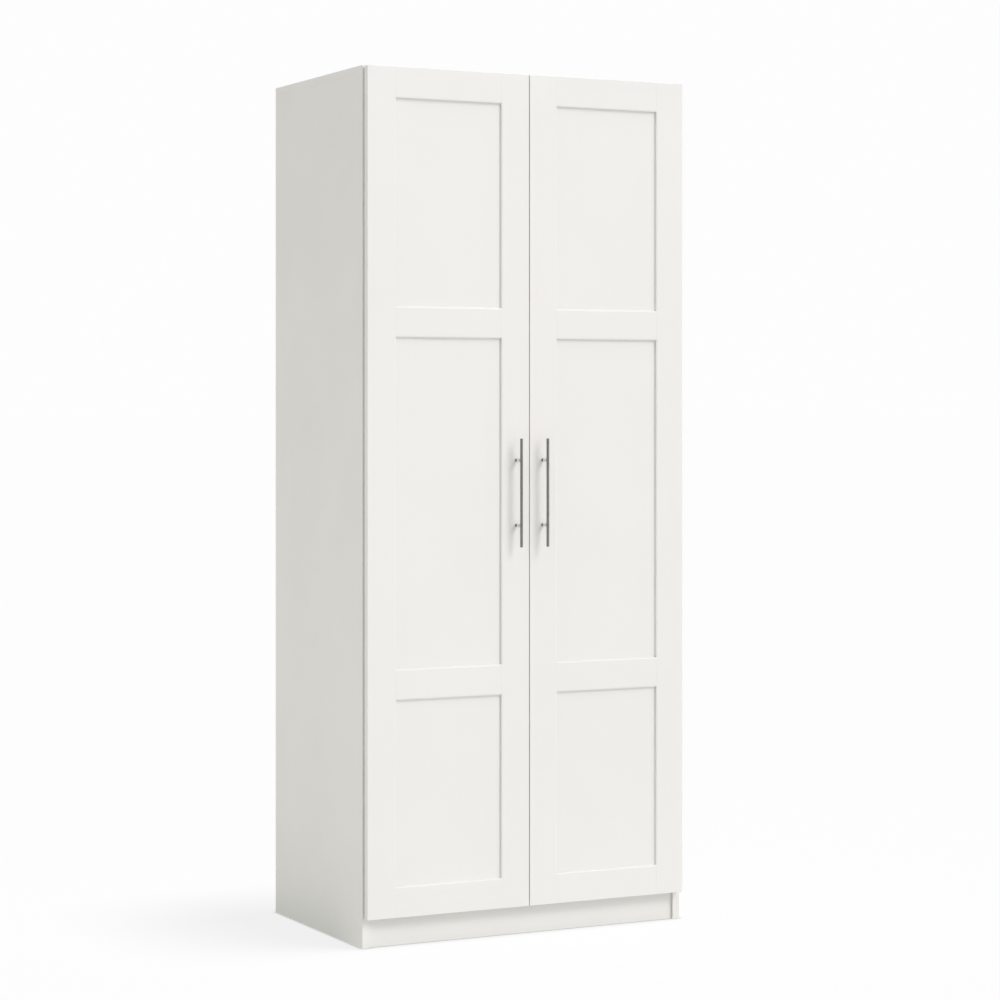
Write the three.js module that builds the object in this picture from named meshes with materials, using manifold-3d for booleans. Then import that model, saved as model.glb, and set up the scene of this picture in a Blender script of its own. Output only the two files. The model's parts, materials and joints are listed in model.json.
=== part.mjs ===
// Tall two-door pantry cabinet, built as a flat-pack assembly of separate boards, doors and hardware.
//
// Frame: millimetres, +Z up, the doors face -Y, +X is to the right of someone facing the doors.
// The origin lies on the floor, in the middle of the footprint (handles included).
//
// Carcass: two full-height sides that stand on the floor, a top that lies on them, a bottom, two fixed shelves
// and a plinth between them, and a thin back held in grooves. Two loose shelves lie on support pins.
// Doors: stile-and-rail frames with three flat panels each, on three concealed hinges a side.
import * as THREE from "three";
import { mergeVertices } from "three/addons/utils/BufferGeometryUtils.js";
import Module from "manifold-3d";

// ------------------------------------------------------------------ driving dimensions
const WIDTH = 760; // over the two sides
const HEIGHT = 1830; // floor to the top's upper face
const CARCASS_DEPTH = 472; // without the doors
const BOARD = 16; // carcass board thickness
const FIT = 0.15; // joint clearance between two flat faces
const BACK_T = 3; // back sheet
const BACK_INSET = 12; // back sheet's rear face to the rear edges
const GROOVE_D = 8; // depth of the grooves for the back sheet
const PLINTH_H = 62; // height of the toe space
const PLINTH_RECESS = 6; // plinth face behind the sides' front edges
const PLINTH_LIFT = 0; // plinth stands on the floor with the sides

const DOOR_T = 16;
const DOOR_GAP = 3; // behind the doors
const DOOR_SIDE = 3; // door's outer edge inside the carcass side
const DOOR_MEET = 2.2; // gap where the doors meet
const DOOR_BOTTOM = 61;
const DOOR_TOP = 1828;
const STILE_W = 65;
const PANEL_T = 5;
const PANEL_RECESS = 6; // door face to panel face
const PANEL_TONGUE = 7.5; // how far a panel or a rail's tongue enters a groove
const RAILS = [
  // name, lower edge, upper edge
  ["bottom_rail", 61, 125],
  ["lower_rail", 513, 577],
  ["upper_rail", 1267, 1331],
  ["top_rail", 1764, 1828],
];
const PANELS = ["bottom_panel", "middle_panel", "top_panel"];

const FIXED_SHELVES = [
  ["fixed_shelf_lower", 537],
  ["fixed_shelf_upper", 1291],
]; // name, underside
const LOOSE_SHELVES = [
  ["adjustable_shelf_middle", 880, -3, 3],
  ["adjustable_shelf_top", 1548, -2, 2],
]; // name, underside, first and last hole counted from the one in use
const FIXED_SETBACK = 12; // behind the carcass front
const LOOSE_SETBACK = 24;
const LOOSE_SIDE = 1.2; // loose shelf's clearance at each side
const HOLE_PITCH = 32;
const HOLE_ROWS = [-140, 190]; // Y of the two rows of pin holes
const HOLE_R = 2.8;
const HOLE_D = 10.5;
const PIN_R = 2.5;
const PIN_DROP = 5.3; // pin axis under the shelf's underside
const PIN_FIT = 0.3;

const HANDLE_X = 31.5; // from the meeting line
const HANDLE_Z = 940;
const BAR_R = 3;
const BAR_L = 230;
const POST_R = 4.2;
const POST_NECK_R = 3.2; // the post's waist, next to the door
const POST_NECK_L = 7;
const POST_PITCH = 138;
const HANDLE_OUT = 24; // door face to the bar's axis

const HINGE_Z = [160, 960, 1729];
const HINGE_IN = 7; // hinge axis inside the door's outer edge
const HINGE_DEEP = 8.5; // hinge axis in front of the door's inner face
const HINGE_OPEN_DEG = 100; // how far a door opens
const CUP_EDGE = 3; // bore edge to door edge
const CUP_BORE_R = 17.8;
const CUP_R = 17.5;
const CUP_WALL = 0.8;
const CUP_DEPTH = 12;

// ------------------------------------------------------------------ derived planes
const Y_BACK = (CARCASS_DEPTH + DOOR_GAP + DOOR_T + HANDLE_OUT + BAR_R) / 2;
const Y_FRONT = Y_BACK - CARCASS_DEPTH; // carcass front plane
const Y_DOOR_IN = Y_FRONT - DOOR_GAP; // door's inner face
const Y_DOOR_OUT = Y_DOOR_IN - DOOR_T; // door's outer face
const X_OUT = WIDTH / 2;
const X_IN = X_OUT - BOARD; // inner face of a side
const Z_TOP = HEIGHT - BOARD; // underside of the top
const BACK_Y1 = Y_BACK - BACK_INSET;
const BACK_Y0 = BACK_Y1 - BACK_T;
const DOOR_X0 = X_OUT - DOOR_SIDE; // distance of a door's outer edge from the middle
const DOOR_X1 = DOOR_MEET / 2; // and of its meeting edge
const PANEL_Y0 = Y_DOOR_OUT + PANEL_RECESS;
const PANEL_Y1 = PANEL_Y0 + PANEL_T;
const HINGE_X = DOOR_X0 - HINGE_IN;
const HINGE_Y = Y_DOOR_IN - HINGE_DEEP;

// ------------------------------------------------------------------ solids
const wasm = await Module();
wasm.setup();

// Keeps only position, merges shared vertices and makes a closed solid of it.
function solid(geometry) {
  const g = geometry.clone();
  for (const name of Object.keys(g.attributes))
    if (name !== "position") g.deleteAttribute(name);
  const m = mergeVertices(g, 1e-4);
  return new wasm.Manifold(
    new wasm.Mesh({
      numProp: 3,
      vertProperties: new Float32Array(m.attributes.position.array),
      triVerts: new Uint32Array(m.index.array),
    }),
  );
}

function geometryOf(manifold) {
  const m = manifold.getMesh();
  const position = new Float32Array(m.numVert * 3);
  for (let i = 0; i < m.numVert; i++)
    position.set(
      m.vertProperties.subarray(i * m.numProp, i * m.numProp + 3),
      i * 3,
    );
  const g = new THREE.BufferGeometry();
  g.setAttribute("position", new THREE.BufferAttribute(position, 3));
  g.setIndex(new THREE.BufferAttribute(new Uint32Array(m.triVerts), 1));
  g.computeVertexNormals();
  return g;
}

// A box from its six planes.
function block(x0, x1, y0, y1, z0, z1) {
  const g = new THREE.BoxGeometry(x1 - x0, y1 - y0, z1 - z0);
  g.translate((x0 + x1) / 2, (y0 + y1) / 2, (z0 + z1) / 2);
  return g;
}

// A cylinder along an axis ("x", "y" or "z"), from a to b, through the point (p, q) of the other two axes.
function rod(axis, radius, a, b, p, q, sides = 24) {
  const g = new THREE.CylinderGeometry(radius, radius, b - a, sides);
  const mid = (a + b) / 2;
  if (axis === "x") g.rotateZ(-Math.PI / 2).translate(mid, p, q);
  else if (axis === "y") g.translate(p, mid, q);
  else g.rotateX(Math.PI / 2).translate(p, q, mid);
  return g;
}

// A flat outline of [x, y] points, standing along Z from z0 to z1.
function prism(points, z0, z1) {
  const shape = new THREE.Shape(points.map(([x, y]) => new THREE.Vector2(x, y)));
  const g = new THREE.ExtrudeGeometry(shape, {
    depth: z1 - z0,
    bevelEnabled: false,
  });
  return g.translate(0, 0, z0);
}

const join = (...parts) =>
  parts.map(solid).reduce((sum, part) => sum.add(part));
const cut = (base, ...tools) =>
  tools.reduce((rest, tool) => rest.subtract(solid(tool)), base);

// The outline of a strip of constant thickness that follows a centre line.
function strip(line, thickness) {
  const left = [];
  const right = [];
  line.forEach((p, i) => {
    const before = line[Math.max(0, i - 1)];
    const after = line[Math.min(line.length - 1, i + 1)];
    const along = (a, b) => {
      const d = new THREE.Vector2(b[0] - a[0], b[1] - a[1]).normalize();
      return new THREE.Vector2(-d.y, d.x);
    };
    const n0 = i > 0 ? along(before, p) : along(p, after);
    const n1 = i < line.length - 1 ? along(p, after) : along(before, p);
    const n = n0.clone().add(n1).normalize();
    const w = thickness / 2 / n.dot(n0);
    left.push([p[0] + n.x * w, p[1] + n.y * w]);
    right.push([p[0] - n.x * w, p[1] - n.y * w]);
  });
  return [...right, ...left.reverse()];
}

// Mirrors a geometry in X for the right-hand side and turns its faces out again.
function mirrored(geometry) {
  const g = geometry.index ? geometry.toNonIndexed() : geometry.clone();
  const p = g.attributes.position;
  for (let i = 0; i < p.count; i += 3) {
    const v = [0, 1, 2].map((k) =>
      new THREE.Vector3().fromBufferAttribute(p, i + k),
    );
    v.forEach((w) => (w.x = -w.x));
    [v[0], v[2], v[1]].forEach((w, k) => p.setXYZ(i + k, w.x, w.y, w.z));
  }
  g.computeVertexNormals();
  return g;
}

// ------------------------------------------------------------------ materials
const board = new THREE.MeshStandardMaterial({
  name: "white_board",
  color: 0xefeeea,
  roughness: 0.45,
  metalness: 0,
});
const doorPaint = new THREE.MeshStandardMaterial({
  name: "door_paint",
  color: 0xf0efeb,
  roughness: 0.4,
  metalness: 0,
});
const backSheet = new THREE.MeshStandardMaterial({
  name: "back_sheet",
  color: 0xe9e8e3,
  roughness: 0.6,
  metalness: 0,
});
const steel = new THREE.MeshStandardMaterial({
  name: "handle_steel",
  color: 0x9c9b98,
  roughness: 0.3,
  metalness: 1,
});
const nickel = new THREE.MeshStandardMaterial({
  name: "hinge_nickel",
  color: 0xc8c7c2,
  roughness: 0.25,
  metalness: 1,
});

// ------------------------------------------------------------------ the assembly
const cabinet = new THREE.Group();
cabinet.name = "pantry_cabinet";
const carcass = new THREE.Group();
carcass.name = "carcass";
cabinet.add(carcass);

// Adds a mesh whose geometry is moved so that its own origin is the middle of its box.
function place(group, name, geometry, material) {
  const g = geometry.clone();
  g.computeBoundingBox();
  const centre = g.boundingBox.getCenter(new THREE.Vector3());
  centre.set(
    Math.round(centre.x * 64) / 64,
    Math.round(centre.y * 64) / 64,
    Math.round(centre.z * 64) / 64,
  );
  g.translate(-centre.x, -centre.y, -centre.z);
  const mesh = new THREE.Mesh(g, material);
  mesh.name = name;
  mesh.position.copy(centre).sub(group.position);
  group.add(mesh);
  return mesh;
}

// Left and right copies of a piece drawn for the left-hand side.
function placePair(groups, names, geometry, material) {
  place(groups[0], names[0], geometry, material);
  place(groups[1], names[1], mirrored(geometry), material);
}

// --- sides: grooved for the back, drilled for the shelf pins
const pinHeights = LOOSE_SHELVES.flatMap(([, z, first, last]) =>
  Array.from(
    { length: last - first + 1 },
    (_, i) => z - PIN_DROP + (first + i) * HOLE_PITCH,
  ),
);
const side = cut(
  solid(block(-X_OUT, -X_IN, Y_FRONT, Y_BACK, 0, Z_TOP - FIT)),
  block(
    -X_IN - GROOVE_D,
    -X_IN + 5,
    BACK_Y0 - PIN_FIT,
    BACK_Y1 + PIN_FIT,
    46,
    Z_TOP + 5,
  ),
  ...HOLE_ROWS.flatMap((y) =>
    pinHeights.map((z) =>
      rod("x", HOLE_R, -X_IN - HOLE_D, -X_IN + 2, y, z, 10),
    ),
  ),
);
placePair(
  [carcass, carcass],
  ["side_panel_left", "side_panel_right"],
  geometryOf(side),
  board,
);

// --- top: lies on both sides, grooved underneath for the back
place(
  carcass,
  "top_board",
  geometryOf(
    cut(
      solid(block(-X_OUT, X_OUT, Y_FRONT, Y_BACK, Z_TOP, HEIGHT)),
      block(
        -X_IN - GROOVE_D,
        X_IN + GROOVE_D,
        BACK_Y0 - PIN_FIT,
        BACK_Y1 + PIN_FIT,
        Z_TOP - 5,
        Z_TOP + GROOVE_D,
      ),
    ),
  ),
  board,
);

// --- bottom, fixed shelves, plinth
const xb = X_IN - FIT;
const behind = BACK_Y0 - PIN_FIT - FIT;
place(
  carcass,
  "bottom_board",
  block(-xb, xb, Y_FRONT, behind, PLINTH_H, PLINTH_H + BOARD),
  board,
);
for (const [name, z] of FIXED_SHELVES)
  place(
    carcass,
    name,
    block(-xb, xb, Y_FRONT + FIXED_SETBACK, behind, z, z + BOARD),
    board,
  );
place(
  carcass,
  "plinth_board",
  block(
    -xb,
    xb,
    Y_FRONT + PLINTH_RECESS,
    Y_FRONT + PLINTH_RECESS + BOARD,
    PLINTH_LIFT,
    PLINTH_H - FIT,
  ),
  board,
);

// --- back sheet, in the grooves of the sides and the top
place(
  carcass,
  "back_panel",
  block(
    -X_IN - GROOVE_D + PIN_FIT,
    X_IN + GROOVE_D - PIN_FIT,
    BACK_Y0,
    BACK_Y1,
    50,
    Z_TOP + GROOVE_D - 0.5,
  ),
  backSheet,
);

// --- loose shelves and the pins under them
// A pin is a round peg in the side, a small upright plate against it, and a ledge that the shelf lies on.
function pinGeometry(y, z) {
  const face = -X_IN + PIN_FIT;
  return geometryOf(
    join(
      rod("x", PIN_R, -X_IN - HOLE_D + 0.8, face + 0.6, y, z, 12),
      block(face, face + 1.4, y - 6, y + 6, z - 7, z + PIN_DROP - PIN_FIT),
      block(
        face,
        face + 11,
        y - 6,
        y + 6,
        z + PIN_DROP - PIN_FIT - 1.6,
        z + PIN_DROP - PIN_FIT,
      ),
      // the rib that stiffens the ledge
      prism(
        [
          [face + 0.7, -0.8],
          [face + 7.5, -0.8],
          [face + 7.5, 0.8],
          [face + 0.7, 0.8],
        ],
        z - 0.5,
        z + PIN_DROP - PIN_FIT - 0.8,
      ).translate(0, y, 0),
    ),
  );
}
for (const [name, z] of LOOSE_SHELVES) {
  const xs = X_IN - LOOSE_SIDE;
  place(
    carcass,
    name,
    block(-xs, xs, Y_FRONT + LOOSE_SETBACK, behind - 4, z, z + BOARD),
    board,
  );
  const level = name.replace("adjustable_shelf_", "");
  HOLE_ROWS.forEach((y, row) =>
    placePair(
      [carcass, carcass],
      ["left", "right"].map(
        (s) => `shelf_pin_${level}_${row ? "rear" : "front"}_${s}`,
      ),
      pinGeometry(y, z - PIN_DROP),
      nickel,
    ),
  );
}

// --- doors
// Each door group sits on its hinge axis, and its pieces hang from that group.
const doors = ["left", "right"].map((s, i) => {
  const door = new THREE.Group();
  door.name = `${s}_door`;
  door.position.set(i ? HINGE_X : -HINGE_X, HINGE_Y, 0);
  cabinet.add(door);
  return door;
});
const doorPair = (piece, geometry, material) =>
  placePair(
    doors,
    ["left", "right"].map((s) => `${s}_door_${piece}`),
    geometry,
    material,
  );

const groove = (x0, x1, z0, z1) =>
  block(x0, x1, PANEL_Y0 - FIT, PANEL_Y1 + FIT, z0, z1);
const grooveD = PANEL_TONGUE + 0.5;
const xStileIn = -DOOR_X0 + STILE_W; // inner edge of the hinge stile
const xMeetIn = -DOOR_X1 - STILE_W; // inner edge of the meeting stile
const cupX = -DOOR_X0 + CUP_EDGE + CUP_BORE_R;

doorPair(
  "hinge_stile",
  geometryOf(
    cut(
      solid(
        block(
          -DOOR_X0,
          xStileIn,
          Y_DOOR_OUT,
          Y_DOOR_IN,
          DOOR_BOTTOM,
          DOOR_TOP,
        ),
      ),
      groove(xStileIn - grooveD, xStileIn + 5, DOOR_BOTTOM - 5, DOOR_TOP + 5),
      ...HINGE_Z.map((z) =>
        rod(
          "y",
          CUP_BORE_R,
          Y_DOOR_IN - CUP_DEPTH - 0.3,
          Y_DOOR_IN + 5,
          cupX,
          z,
          32,
        ),
      ),
    ),
  ),
  doorPaint,
);
doorPair(
  "meeting_stile",
  geometryOf(
    cut(
      solid(
        block(xMeetIn, -DOOR_X1, Y_DOOR_OUT, Y_DOOR_IN, DOOR_BOTTOM, DOOR_TOP),
      ),
      groove(xMeetIn - 5, xMeetIn + grooveD, DOOR_BOTTOM - 5, DOOR_TOP + 5),
    ),
  ),
  doorPaint,
);
RAILS.forEach(([name, z0, z1], i) => {
  const low = i > 0; // has a panel below it
  const high = i < RAILS.length - 1; // has a panel above it
  const t0 = low ? z0 + grooveD : z0;
  const t1 = high ? z1 - grooveD : z1;
  const tools = [];
  if (low) tools.push(groove(xStileIn - 20, xMeetIn + 20, z0 - 5, z0 + grooveD));
  if (high) tools.push(groove(xStileIn - 20, xMeetIn + 20, z1 - grooveD, z1 + 5));
  doorPair(
    name,
    geometryOf(
      cut(
        join(
          block(xStileIn + FIT, xMeetIn - FIT, Y_DOOR_OUT, Y_DOOR_IN, z0, z1),
          block(
            xStileIn - PANEL_TONGUE,
            xMeetIn + PANEL_TONGUE,
            PANEL_Y0,
            PANEL_Y1,
            t0,
            t1,
          ),
        ),
        ...tools,
      ),
    ),
    doorPaint,
  );
});
PANELS.forEach((name, i) =>
  doorPair(
    name,
    block(
      xStileIn - PANEL_TONGUE + 0.2,
      xMeetIn + PANEL_TONGUE - 0.2,
      PANEL_Y0,
      PANEL_Y1,
      RAILS[i][2] - PANEL_TONGUE,
      RAILS[i + 1][1] + PANEL_TONGUE,
    ),
    doorPaint,
  ),
);

// --- handles: a slim round bar seated in the saddles of two waisted posts
const barY = Y_DOOR_OUT - HANDLE_OUT;
doorPair(
  "handle_bar",
  rod("z", BAR_R, HANDLE_Z - BAR_L / 2, HANDLE_Z + BAR_L / 2, -HANDLE_X, barY, 24),
  steel,
);
[
  ["lower", -1],
  ["upper", 1],
].forEach(([where, sign]) => {
  const z = HANDLE_Z + (sign * POST_PITCH) / 2;
  const foot = Y_DOOR_OUT - FIT;
  const profile = [
    [0, barY + 2],
    [POST_R, barY + 2],
    [POST_R, foot - POST_NECK_L - 1.5],
    [POST_NECK_R, foot - POST_NECK_L],
    [POST_NECK_R, foot],
    [0, foot],
  ].map(([r, y]) => new THREE.Vector2(r, y));
  doorPair(
    `handle_post_${where}`,
    geometryOf(
      cut(
        solid(new THREE.LatheGeometry(profile, 24).translate(-HANDLE_X, 0, z)),
        rod("z", BAR_R + 0.25, z - 20, z + 20, -HANDLE_X, barY, 24),
      ),
    ),
    steel,
  );
});

// --- concealed hinges
// Drawn for the left side about the hinge axis: u runs from the axis towards the meeting line, v towards the back.
const u0 = -HINGE_X; // the axis in the cabinet's X
const v0 = HINGE_Y;
const cupU = cupX - u0;
const vIn = HINGE_DEEP; // door's inner face
const AXLE_R = 0.95;
const KNUCKLE_R = 2;
const KNUCKLE_BORE = 1.2;
const KNUCKLE_HALF = 4.6;

// The cup, with its mounting flange, the two ears that hold the axle, and the riveted axle.
function cupGeometry(z) {
  const flangeT = 1.2;
  const inner = CUP_R - CUP_WALL;
  let cup = solid(rod("y", CUP_R, vIn - CUP_DEPTH, vIn, cupU, 0, 32));
  // flange: a bar with rounded ends across the cup, kept off the door's edge
  const wing = [];
  const half = 31.5;
  const r = 5.5;
  const [ua, ub] = [cupU - 6, cupU + 17.5];
  for (const [cx, cz, start] of [
    [ub - r, half - r, 0],
    [ua + r, half - r, 90],
    [ua + r, -half + r, 180],
    [ub - r, -half + r, 270],
  ])
    for (let k = 0; k <= 4; k++) {
      const a = THREE.MathUtils.degToRad(start + k * 22.5);
      wing.push([cx + r * Math.cos(a), cz + r * Math.sin(a)]);
    }
  const flange = prism(wing, 0, flangeT);
  flange.rotateX(Math.PI / 2); // outline into the door's plane, thickness to -Y
  flange.translate(0, vIn + 0.25 + flangeT, 0);
  const rim = rod("y", CUP_R + 1.6, vIn + 0.25, vIn + 0.25 + flangeT, cupU, 0, 32);
  cup = cup.add(solid(rod("y", CUP_R, vIn - 1, vIn + 0.25 + flangeT, cupU, 0, 32)));
  cup = cup.add(solid(flange)).add(solid(rim));
  cup = cup.subtract(
    solid(rod("y", inner, vIn - CUP_DEPTH + CUP_WALL, vIn + 10, cupU, 0, 32)),
  );
  // nothing stands above the door's inner face on the side where the arm leaves
  cup = cup.subtract(solid(block(-20, 4, vIn - 0.1, vIn + 10, -40, 40)));
  // ears
  for (const s of [-1, 1]) {
    const [za, zb] = s > 0 ? [5.3, 6.9] : [-6.9, -5.3];
    cup = cup.add(
      solid(block(-1.5, 3, vIn - CUP_DEPTH + CUP_WALL - 0.4, 2.2, za, zb)),
    );
  }
  cup = cup.add(solid(rod("z", AXLE_R, -6.5, 6.5, 0, 0, 12)));
  // screw holes in the wings
  for (const s of [-1, 1])
    cup = cup.subtract(
      solid(rod("y", 2.2, vIn - 2, vIn + 10, cupU + 6, s * 24, 12)),
    );
  return geometryOf(cup).translate(u0, v0, z);
}

// The arm: a knuckle on the axle, a cranked neck that clears the door's edge, and a channel that clips over the plate.
const NECK = [
  [0.6, -1.2],
  [7.6, -1.2],
  [10.2, -0.2],
  [11.5, 2.4],
  [11.5, 10.5],
  [13, 14.5],
  [16.2, 19.5],
  [17, 23],
  [17, 72],
];
const ARM_T = 1.6;
function armGeometry(z) {
  let arm = solid(prism(strip(NECK.slice(0, 6), ARM_T), -5, 5));
  arm = arm.add(solid(prism(strip(NECK.slice(5), ARM_T), -7, 7)));
  arm = arm.add(solid(prism(strip(NECK.slice(4, 7), ARM_T), -5, 5)));
  for (const s of [-1, 1]) {
    const [za, zb] = s > 0 ? [5.6, 7] : [-7, -5.6];
    arm = arm.add(
      solid(
        prism(
          [
            [11.2, 24],
            [17.2, 22.8],
            [17.2, 72],
            [11.2, 70],
          ],
          za,
          zb,
        ),
      ),
    );
  }
  arm = arm.add(solid(rod("z", KNUCKLE_R, -KNUCKLE_HALF, KNUCKLE_HALF, 0, 0, 20)));
  arm = arm.subtract(solid(rod("z", KNUCKLE_BORE, -8, 8, 0, 0, 16)));
  // the screw holes through the channel's back
  for (const v of [34, 58])
    arm = arm.subtract(solid(rod("x", 2.1, 14, 20, v, 0, 12)));
  return geometryOf(arm).translate(u0, v0, z);
}

// The mounting plate: a cross with wings, screwed to the side, and the raised saddle that the arm clips over.
function plateGeometry(z) {
  const face = -X_IN - u0 + FIT; // side's inner face, from the axis
  const plate = join(
    block(face, face + 2.2, 26, 68, -6.5, 6.5),
    block(face, face + 2.2, 41.5, 55.5, -23, 23),
    block(face, face + 7.4, 28, 66, -4.9, 4.9),
  );
  return geometryOf(
    cut(
      plate,
      rod("x", 2.4, face - 2, face + 10, 48.5, 16, 12),
      rod("x", 2.4, face - 2, face + 10, 48.5, -16, 12),
      rod("x", 1.7, face + 2, face + 20, 58, 0, 12),
    ),
  ).translate(u0, v0, z);
}
["lower", "middle", "upper"].forEach((where, i) => {
  doorPair(`hinge_cup_${where}`, cupGeometry(HINGE_Z[i]), nickel);
  placePair(
    [carcass, carcass],
    ["left", "right"].map((s) => `${s}_hinge_arm_${where}`),
    armGeometry(HINGE_Z[i]),
    nickel,
  );
  placePair(
    [carcass, carcass],
    ["left", "right"].map((s) => `${s}_hinge_plate_${where}`),
    plateGeometry(HINGE_Z[i]),
    nickel,
  );
});

cabinet.userData = { doorOpensDeg: HINGE_OPEN_DEG };

export default cabinet;
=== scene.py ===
"""Looks for the two-door pantry cabinet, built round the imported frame."""
import json
import math

import bmesh
import bpy
from mathutils import Matrix, Vector


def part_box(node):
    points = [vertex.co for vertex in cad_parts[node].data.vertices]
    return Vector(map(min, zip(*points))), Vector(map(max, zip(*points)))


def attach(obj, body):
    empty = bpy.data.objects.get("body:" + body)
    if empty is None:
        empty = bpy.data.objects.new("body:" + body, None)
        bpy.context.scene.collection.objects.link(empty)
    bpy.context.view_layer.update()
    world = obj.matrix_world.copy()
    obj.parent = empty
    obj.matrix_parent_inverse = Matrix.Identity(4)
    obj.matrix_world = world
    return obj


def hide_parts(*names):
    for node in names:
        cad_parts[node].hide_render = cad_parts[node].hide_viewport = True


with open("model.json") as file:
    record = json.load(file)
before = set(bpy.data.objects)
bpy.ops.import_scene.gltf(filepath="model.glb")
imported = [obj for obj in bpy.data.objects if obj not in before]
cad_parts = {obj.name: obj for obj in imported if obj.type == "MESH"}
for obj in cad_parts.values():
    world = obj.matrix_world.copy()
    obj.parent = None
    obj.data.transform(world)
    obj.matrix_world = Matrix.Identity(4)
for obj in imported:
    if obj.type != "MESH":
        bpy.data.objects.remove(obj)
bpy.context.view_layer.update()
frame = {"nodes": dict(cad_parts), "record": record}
NODES = frame["nodes"]
SLOT = {s["node"]: s["material_slot"] for s in frame["record"]["subparts"]}
BODY = {n: b for b, ns in frame["record"]["behaviour"]["bodies"].items() for n in ns}
MM = 0.001

scene = bpy.context.scene
cabinet = bpy.data.collections.new("cabinet")
scene.collection.children.link(cabinet)
stage = bpy.data.collections.new("stage")
scene.collection.children.link(stage)
for o in NODES.values():
    cabinet.objects.link(o)


# ------------------------------------------------------------------ camera
# A level camera with a small vertical shift, so that the uprights stay parallel.
YAW = math.radians(26.93)
cam_data = bpy.data.cameras.new("camera")
cam_data.sensor_width = 36.0
cam_data.lens = 2764.9 / 1000 * 36.0
cam_data.shift_y = -0.09148
cam_data.clip_start, cam_data.clip_end = 0.1, 2000.0
camera = bpy.data.objects.new("camera", cam_data)
camera.location = (-2.7186, -5.4452, 1.1185)
camera.rotation_euler = (math.radians(90.0), 0.0, -YAW)
scene.collection.objects.link(camera)
scene.camera = camera


# ------------------------------------------------------------------ node helpers
class Tree:
    """A short way to write a material's nodes."""

    def __init__(self, name):
        self.mat = bpy.data.materials.new(name)
        self.mat.use_nodes = True
        self.tree = self.mat.node_tree
        self.tree.nodes.clear()
        self.out = self.add("ShaderNodeOutputMaterial")
        self.bsdf = self.add("ShaderNodeBsdfPrincipled")
        self.link(self.bsdf.outputs["BSDF"], self.out.inputs["Surface"])
        self._object = None

    def add(self, kind, **props):
        node = self.tree.nodes.new(kind)
        for key, value in props.items():
            setattr(node, key, value)
        return node

    def link(self, a, b):
        self.tree.links.new(a, b)

    def put(self, socket, value):
        if isinstance(value, bpy.types.NodeSocket):
            self.link(value, socket)
        else:
            socket.default_value = value

    @property
    def object(self):
        if self._object is None:
            self._object = self.add("ShaderNodeTexCoord").outputs["Object"]
        return self._object

    def scaled(self, sx, sy, sz, source=None):
        m = self.add("ShaderNodeMapping")
        m.inputs["Scale"].default_value = (sx, sy, sz)
        self.link(source or self.object, m.inputs["Vector"])
        return m.outputs["Vector"]

    def noise(self, scale, detail=2.0, rough=0.5, vector=None, distortion=0.0):
        n = self.add("ShaderNodeTexNoise")
        n.inputs["Scale"].default_value = scale
        n.inputs["Detail"].default_value = detail
        n.inputs["Roughness"].default_value = rough
        n.inputs["Distortion"].default_value = distortion
        self.link(vector or self.object, n.inputs["Vector"])
        return n.outputs["Fac"]

    def voronoi(self, scale, feature="F1", output="Distance", vector=None, rand=1.0):
        n = self.add("ShaderNodeTexVoronoi", feature=feature)
        n.inputs["Scale"].default_value = scale
        n.inputs["Randomness"].default_value = rand
        self.link(vector or self.object, n.inputs["Vector"])
        return n.outputs[output]

    def remap(self, value, a, b, c, d, smooth=False):
        n = self.add("ShaderNodeMapRange")
        if smooth:
            n.interpolation_type = "SMOOTHSTEP"
        self.put(n.inputs["Value"], value)
        for key, v in zip(("From Min", "From Max", "To Min", "To Max"), (a, b, c, d)):
            n.inputs[key].default_value = v
        return n.outputs["Result"]

    def math(self, op, a, b=0.0, clamp=False):
        n = self.add("ShaderNodeMath", operation=op, use_clamp=clamp)
        self.put(n.inputs[0], a)
        self.put(n.inputs[1], b)
        return n.outputs[0]

    def mix(self, fac, a, b, blend="MIX"):
        n = self.add("ShaderNodeMix", data_type="RGBA", blend_type=blend)
        self.put(n.inputs[0], fac)
        for socket, v in ((n.inputs[6], a), (n.inputs[7], b)):
            if isinstance(v, bpy.types.NodeSocket):
                self.link(v, socket)
            else:
                socket.default_value = (*v, 1.0) if len(v) == 3 else v
        return n.outputs[2]

    def grey(self, value):
        c = self.add("ShaderNodeCombineColor")
        for k in range(3):
            self.put(c.inputs[k], value)
        return c.outputs[0]

    def axis(self, which, source=None):
        s = self.add("ShaderNodeSeparateXYZ")
        self.link(source or self.object, s.inputs[0])
        return s.outputs[which]

    def normal(self, which):
        g = self.add("ShaderNodeNewGeometry")
        return self.axis(which, g.outputs["Normal"])

    def bump(self, height, distance, strength=1.0, after=None):
        n = self.add("ShaderNodeBump")
        n.inputs["Distance"].default_value = distance
        n.inputs["Strength"].default_value = strength
        self.link(height, n.inputs["Height"])
        if after is not None:
            self.link(after, n.inputs["Normal"])
        return n.outputs["Normal"]

    def edges(self, radius, low=0.02, high=0.25):
        """1 close to the piece's own edges, 0 on its faces."""
        b = self.add("ShaderNodeBevel", samples=4)
        b.inputs["Radius"].default_value = radius
        g = self.add("ShaderNodeNewGeometry")
        d = self.add("ShaderNodeVectorMath", operation="DOT_PRODUCT")
        self.link(b.outputs["Normal"], d.inputs[0])
        self.link(g.outputs["Normal"], d.inputs[1])
        turned = self.math("SUBTRACT", 1.0, d.outputs["Value"])
        return self.remap(turned, low, high, 0.0, 1.0, smooth=True)

    def finish(self, color, rough, normal=None, metallic=0.0, **more):
        self.put(self.bsdf.inputs["Base Color"], color if isinstance(color, bpy.types.NodeSocket) else (*color, 1.0))
        self.put(self.bsdf.inputs["Roughness"], rough)
        self.bsdf.inputs["Metallic"].default_value = metallic
        if normal is not None:
            self.link(normal, self.bsdf.inputs["Normal"])
        for key, v in more.items():
            self.put(self.bsdf.inputs[key.replace("_", " ")], v)
        return self.mat


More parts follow.
